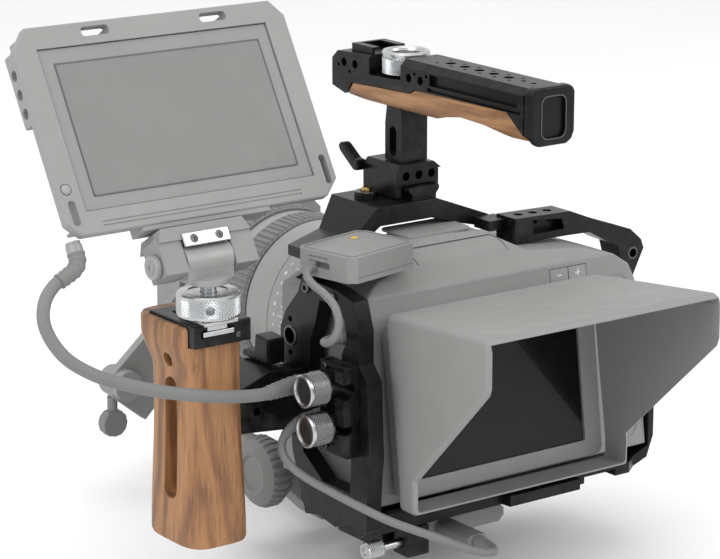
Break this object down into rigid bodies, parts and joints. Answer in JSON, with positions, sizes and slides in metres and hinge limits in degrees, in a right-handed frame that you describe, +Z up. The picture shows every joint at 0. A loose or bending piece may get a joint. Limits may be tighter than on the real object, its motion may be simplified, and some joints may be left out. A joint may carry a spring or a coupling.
{
  "type": "cinema camera rig",
  "caption": "Cinema camera in a metal cage with lens, matte box, hooded screen, top handle, wooden side handle, tilting monitor, wireless receiver, solid-state drive and cables.",
  "frame": {"origin": "on the underside of the cage's base plate, at the face a tripod plate bolts to", "axes": "+X is the operator's right, +Y is the way the lens looks, +Z is up"},
  "size_m": [0.3843, 0.344, 0.2922],
  "materials": {
    "black_metal": "satin black anodised aluminium",
    "silver_metal": "satin machined",
    "brass": "polished",
    "wood": "oiled, open grain",
    "pale_plastic": "fine matte grain",
    "pale_metal": "satin grey",
    "screen_glass": "gloss, switched off",
    "lens_glass": "polished",
    "board": "printed circuit board",
    "cell": "matte",
    "cable_jacket": "matte rubber"
  },
  "bodies": {
    "camera_and_cage": {"camera_body_shell": "pale_plastic", "camera_rear_cover": "pale_plastic", "sensor_board": "board", "camera_battery": "cell", "lens_barrel": "pale_metal", "lens_front_element": "lens_glass", "cage_left_frame": "black_metal", "cage_base_plate": "black_metal", "cage_top_bridge": "black_metal", "cage_top_arm": "black_metal", "side_handle_grip": "wood", "side_handle_bolt": "silver_metal", "side_handle_top_cap": "black_metal", "side_clamp_body": "black_metal", "cable_clamp_body": "black_metal", "monitor_mount_foot": "silver_metal", "monitor_cable": "cable_jacket", "monitor_cable_connector": "cable_jacket", "wireless_receiver": "pale_plastic", "receiver_cable": "cable_jacket", "receiver_cable_plug": "cable_jacket", "ssd_drive": "pale_plastic", "ssd_bracket": "black_metal", "ssd_cable": "cable_jacket", "ssd_cable_connector": "cable_jacket", "ssd_cable_plug": "cable_jacket", "support_rods": "pale_metal", "follow_focus_body": "pale_plastic", "matte_box": "pale_plastic"},
    "screen": {"screen_frame": "pale_plastic", "screen_glass": "screen_glass", "screen_hood": "pale_plastic"},
    "focus_ring": {"focus_ring": "pale_metal"},
    "zoom_ring": {"zoom_ring": "pale_metal"},
    "media_door": {"media_door": "pale_plastic"},
    "record_button": {"record_button": "pale_plastic"},
    "nd_filter_down_button": {"nd_filter_down_button": "pale_plastic"},
    "nd_filter_up_button": {"nd_filter_up_button": "pale_plastic"},
    "top_handle": {"handle_clamp_body": "black_metal", "top_handle_stem": "black_metal", "top_handle_frame": "black_metal", "top_handle_wood": "wood", "top_handle_end_cap": "black_metal"},
    "handle_lock_wheel": {"top_handle_lock_wheel": "silver_metal"},
    "handle_lever": {"handle_clamp_lever": "black_metal"},
    "handle_jaw": {"handle_clamp_jaw": "black_metal"},
    "safety_pin": {"handle_safety_pin": "brass"},
    "side_lever": {"side_clamp_lever": "black_metal"},
    "cable_knob_upper": {"cable_clamp_knob_upper": "silver_metal"},
    "cable_knob_lower": {"cable_clamp_knob_lower": "silver_metal"},
    "ssd_screw": {"ssd_thumbscrew": "silver_metal"},
    "mount_ring": {"monitor_mount_ring": "silver_metal"},
    "monitor_swivel": {"monitor_swivel_head": "pale_metal"},
    "monitor": {"monitor_tilt_bracket": "pale_metal", "monitor_cage": "pale_plastic", "monitor_body": "pale_plastic", "monitor_cable_plug": "cable_jacket"},
    "monitor_power_button": {"monitor_power_button": "pale_plastic"},
    "follow_focus_wheel": {"follow_focus_wheel": "pale_plastic"},
    "matte_box_knob": {"matte_box_lock_knob": "pale_plastic"}
  },
  "joints": [
    {"name": "screen_tilt", "type": "hinge", "parent": "camera_and_cage", "child": "screen", "pos_m": [-0.014, 0.0196, 0.1046], "axis": [1, 0, 0], "range_deg": [-40, 0]},
    {"name": "focus_turn", "type": "hinge", "parent": "camera_and_cage", "child": "focus_ring", "pos_m": [-0.014, 0.18, 0.074], "axis": [0, 1, 0], "range_deg": [0, 270]},
    {"name": "zoom_turn", "type": "hinge", "parent": "camera_and_cage", "child": "zoom_ring", "pos_m": [-0.014, 0.208, 0.074], "axis": [0, 1, 0], "range_deg": [0, 90]},
    {"name": "media_door_swing", "type": "hinge", "parent": "camera_and_cage", "child": "media_door", "pos_m": [0.0938, 0.0716, 0.05], "axis": [0, 0, 1], "range_deg": [0, 100]},
    {"name": "record_press", "type": "slide", "parent": "camera_and_cage", "child": "record_button", "axis": [0, 0, -1], "range_m": [0, 0.001]},
    {"name": "nd_down_press", "type": "slide", "parent": "camera_and_cage", "child": "nd_filter_down_button", "axis": [0, 1, 0], "range_m": [0, 0.0008]},
    {"name": "nd_up_press", "type": "slide", "parent": "camera_and_cage", "child": "nd_filter_up_button", "axis": [0, 1, 0], "range_m": [0, 0.0008]},
    {"name": "handle_slide", "type": "slide", "parent": "camera_and_cage", "child": "top_handle", "axis": [0, 1, 0], "range_m": [-0.004, 0.006]},
    {"name": "lock_wheel_turn", "type": "hinge", "parent": "top_handle", "child": "handle_lock_wheel", "pos_m": [-0.014, 0.087, 0.22], "axis": [0, 0, 1], "continuous": true},
    {"name": "clamp_lever_turn", "type": "hinge", "parent": "top_handle", "child": "handle_lever", "pos_m": [-0.032, 0.102, 0.1686], "axis": [1, 0, 0], "range_deg": [0, 90]},
    {"name": "clamp_jaw_slide", "type": "slide", "parent": "top_handle", "child": "handle_jaw", "axis": [1, 0, 0], "range_m": [0, 0.0015]},
    {"name": "safety_pin_lift", "type": "slide", "parent": "camera_and_cage", "child": "safety_pin", "axis": [0, 0, 1], "range_m": [0, 0.003]},
    {"name": "side_lever_turn", "type": "hinge", "parent": "camera_and_cage", "child": "side_lever", "pos_m": [-0.1185, 0.076, 0.09], "axis": [0, 0, -1], "range_deg": [0, 80]},
    {"name": "cable_knob_upper_turn", "type": "hinge", "parent": "camera_and_cage", "child": "cable_knob_upper", "pos_m": [-0.12, 0.017, 0.08], "axis": [1, 0, 0], "continuous": true},
    {"name": "cable_knob_lower_turn", "type": "hinge", "parent": "camera_and_cage", "child": "cable_knob_lower", "pos_m": [-0.12, 0.015, 0.0595], "axis": [1, 0, 0], "continuous": true},
    {"name": "ssd_screw_turn", "type": "hinge", "parent": "camera_and_cage", "child": "ssd_screw", "pos_m": [-0.09, 0.0075, -0.0094], "axis": [1, 0, 0], "continuous": true},
    {"name": "mount_ring_turn", "type": "hinge", "parent": "camera_and_cage", "child": "mount_ring", "pos_m": [-0.17, 0.042, 0.127], "axis": [0, 0, 1], "continuous": true},
    {"name": "monitor_swivel_turn", "type": "hinge", "parent": "camera_and_cage", "child": "monitor_swivel", "pos_m": [-0.17, 0.042, 0.139], "axis": [0, 0, 1], "range_deg": [-20, 35], "deforming": ["monitor_cable"]},
    {"name": "monitor_tilt", "type": "hinge", "parent": "monitor_swivel", "child": "monitor", "pos_m": [-0.17, 0.047, 0.1484], "axis": [1, 0, 0], "range_deg": [-20, 40], "deforming": ["monitor_cable"]},
    {"name": "monitor_power_press", "type": "slide", "parent": "monitor", "child": "monitor_power_button", "axis": [0, 0.8581, -0.5135], "range_m": [0, 0.001]},
    {"name": "follow_focus_turn", "type": "hinge", "parent": "camera_and_cage", "child": "follow_focus_wheel", "pos_m": [-0.09, 0.117, 0.002], "axis": [1, 0, 0], "continuous": true},
    {"name": "matte_box_knob_turn", "type": "hinge", "parent": "camera_and_cage", "child": "matte_box_knob", "pos_m": [-0.104, 0.2484, 0], "axis": [0, 0, 1], "continuous": true}
  ]
}
